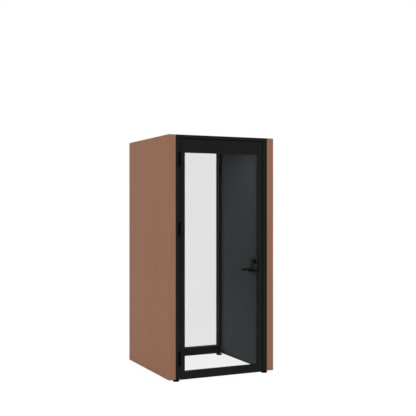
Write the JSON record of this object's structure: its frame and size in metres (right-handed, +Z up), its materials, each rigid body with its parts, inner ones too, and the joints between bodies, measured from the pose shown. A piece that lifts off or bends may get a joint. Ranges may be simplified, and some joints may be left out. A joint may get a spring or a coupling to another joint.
{
  "type": "acoustic office pod",
  "caption": "Free-standing acoustic pod for one person: felt-lined walls with brown laminate, a black-framed glass door with a lever lock, a glass rear wall and a ventilated roof.",
  "frame": {"origin": "on the floor under the middle of the pod's overall box", "axes": "+Z up, -Y out through the door, +X towards the lock side of the door"},
  "size_m": [1.105, 1.136, 2.29],
  "materials": {
    "wood_laminate": "satin brown wood-grain laminate",
    "acoustic_core": "fibre batt",
    "felt": "grey pressed felt",
    "black_frame": "matte black powder coat",
    "clear_glass": "clear laminated glass",
    "rubber": "black rubber",
    "black_hardware": "satin black",
    "steel": "brushed",
    "roof_board": "black-faced board",
    "black_plastic": "fine grain",
    "diffuser": "opal"
  },
  "bodies": {
    "cabin": {"left_wall_shell": "wood_laminate", "right_wall_shell": "wood_laminate", "left_wall_core": "acoustic_core", "right_wall_core": "acoustic_core", "left_felt_lining": "felt", "right_felt_lining": "felt", "front_left_jamb": "black_frame", "front_right_jamb": "black_frame", "front_header": "black_frame", "left_door_stop": "black_frame", "right_door_stop": "black_frame", "top_door_stop": "black_frame", "door_seal": "rubber", "strike_plate": "steel", "rear_left_post": "black_frame", "rear_right_post": "black_frame", "rear_top_rail": "black_frame", "rear_bottom_rail": "black_frame", "rear_glass": "clear_glass", "rear_glazing_gasket": "rubber", "roof_deck": "roof_board", "ceiling_felt": "felt", "fan_housing": "black_plastic", "fan_guard": "black_plastic", "ceiling_grille": "black_plastic", "light_tray": "black_plastic", "light_diffuser": "diffuser", "power_inlet": "black_plastic", "upper_hinge_frame_leaf": "black_hardware", "upper_hinge_pin": "black_hardware", "middle_hinge_frame_leaf": "black_hardware", "middle_hinge_pin": "black_hardware", "lower_hinge_frame_leaf": "black_hardware", "lower_hinge_pin": "black_hardware"},
    "door": {"door_hinge_stile": "black_frame", "door_lock_stile": "black_frame", "door_top_rail": "black_frame", "door_bottom_rail": "black_frame", "door_glass": "clear_glass", "door_glazing_gasket": "rubber", "door_sweep": "rubber", "upper_hinge_door_leaf": "black_hardware", "middle_hinge_door_leaf": "black_hardware", "lower_hinge_door_leaf": "black_hardware", "lock_body": "steel", "outside_lock_cover": "black_frame", "inside_lock_cover": "black_frame", "key_cylinder": "black_hardware"},
    "lever_set": {"outside_lever": "black_hardware", "inside_lever": "black_hardware", "lever_spindle": "steel"},
    "latch": {"latch_bolt": "steel"},
    "dead_bolt": {"deadbolt": "steel"},
    "turn_knob": {"thumb_turn": "black_hardware"},
    "fan": {"fan_rotor": "black_plastic"},
    "front_left_foot_body": {"front_left_foot": "black_hardware"},
    "front_right_foot_body": {"front_right_foot": "black_hardware"},
    "rear_left_foot_body": {"rear_left_foot": "black_hardware"},
    "rear_right_foot_body": {"rear_right_foot": "black_hardware"}
  },
  "joints": [
    {"name": "door_hinge", "type": "hinge", "parent": "cabin", "child": "door", "pos_m": [-0.4435, -0.5335, 1.14], "axis": [0, 0, -1], "range_deg": [0, 110]},
    {"name": "lever_turn", "type": "hinge", "parent": "door", "child": "lever_set", "pos_m": [0.3595, -0.498, 1.008], "axis": [0, -1, 0], "range_deg": [0, 45], "stiffness_Nm_per_rad": 1, "springref_deg": -45.84},
    {"name": "latch_slide", "type": "slide", "parent": "door", "child": "latch", "axis": [-1, 0, 0], "range_m": [0, 0.012]},
    {"name": "knob_turn", "type": "hinge", "parent": "door", "child": "turn_knob", "pos_m": [0.3595, -0.498, 1.089], "axis": [0, -1, 0], "range_deg": [0, 90]},
    {"name": "deadbolt_slide", "type": "slide", "parent": "door", "child": "dead_bolt", "axis": [1, 0, 0], "range_m": [0, 0.02]},
    {"name": "fan_spin", "type": "hinge", "parent": "cabin", "child": "fan", "pos_m": [0, 0.2005, 2.247], "axis": [0, 0, 1], "continuous": true},
    {"name": "front_left_foot_turn", "type": "hinge", "parent": "cabin", "child": "front_left_foot_body", "pos_m": [-0.4655, -0.496, 0], "axis": [0, 0, 1], "continuous": true},
    {"name": "front_right_foot_turn", "type": "hinge", "parent": "cabin", "child": "front_right_foot_body", "pos_m": [0.4655, -0.496, 0], "axis": [0, 0, 1], "continuous": true},
    {"name": "rear_left_foot_turn", "type": "hinge", "parent": "cabin", "child": "rear_left_foot_body", "pos_m": [-0.4655, 0.51, 0], "axis": [0, 0, 1], "continuous": true},
    {"name": "rear_right_foot_turn", "type": "hinge", "parent": "cabin", "child": "rear_right_foot_body", "pos_m": [0.4655, 0.51, 0], "axis": [0, 0, 1], "continuous": true}
  ],
  "couplings": [
    {"joint": "latch_slide", "follows": "lever_turn", "m_per_rad": 0.015278},
    {"joint": "knob_turn", "follows": "deadbolt_slide", "rad_per_m": 78.5}
  ]
}
